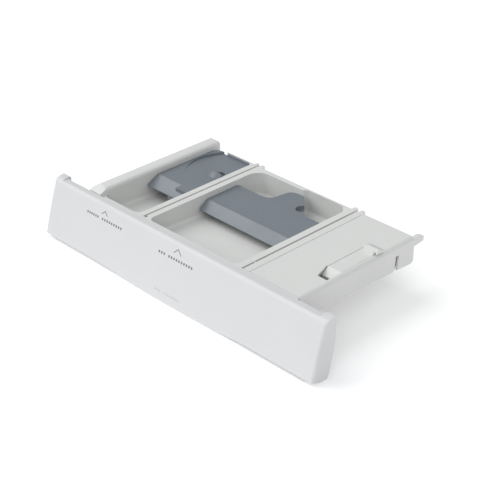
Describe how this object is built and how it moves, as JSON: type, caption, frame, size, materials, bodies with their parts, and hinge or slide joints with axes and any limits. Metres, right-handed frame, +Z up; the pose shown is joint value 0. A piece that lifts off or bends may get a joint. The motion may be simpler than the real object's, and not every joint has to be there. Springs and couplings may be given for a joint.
{
  "type": "detergent dispenser drawer",
  "caption": "Front-loader detergent drawer: leaning front panel with finger grip, softener and detergent bays, lift-out siphon cap and insert, and a sprung release latch.",
  "frame": {"origin": "middle of the drawer's width and depth, on the plane of the front panel's lowest edge", "axes": "+X to the user's right along the front panel, +Y into the machine, the way the drawer closes, +Z up"},
  "size_m": [0.34, 0.1816, 0.0584],
  "materials": {
    "white": "satin moulded plastic, cool white",
    "light_grey": "fine moulded plastic, light grey",
    "slate_blue": "fine moulded plastic, slate blue-grey",
    "screw_steel": "plain zinc-plated screws"
  },
  "bodies": {
    "drawer": {"front_panel": "white", "grip_liner": "white", "drawer_tray": "light_grey", "deck_housing": "light_grey", "panel_screw_1": "screw_steel", "panel_screw_2": "screw_steel", "panel_screw_3": "screw_steel", "panel_screw_4": "screw_steel", "housing_screw_1": "screw_steel", "housing_screw_2": "screw_steel"},
    "latch": {"release_latch": "light_grey"},
    "cap": {"softener_cap": "slate_blue"},
    "insert": {"detergent_insert": "slate_blue"}
  },
  "joints": [
    {"name": "latch_press", "type": "hinge", "parent": "drawer", "child": "latch", "pos_m": [0.1187, -0.01683, 0.0414], "axis": [-1, 0, 0], "range_deg": [0, 3], "stiffness_Nm_per_rad": 2, "springref_deg": -1.15},
    {"name": "softener_cap_lift", "type": "slide", "parent": "drawer", "child": "cap", "axis": [0, 0, 1], "range_m": [0, 0.06]},
    {"name": "detergent_insert_lift", "type": "slide", "parent": "drawer", "child": "insert", "axis": [0, 0, 1], "range_m": [0, 0.06]}
  ]
}
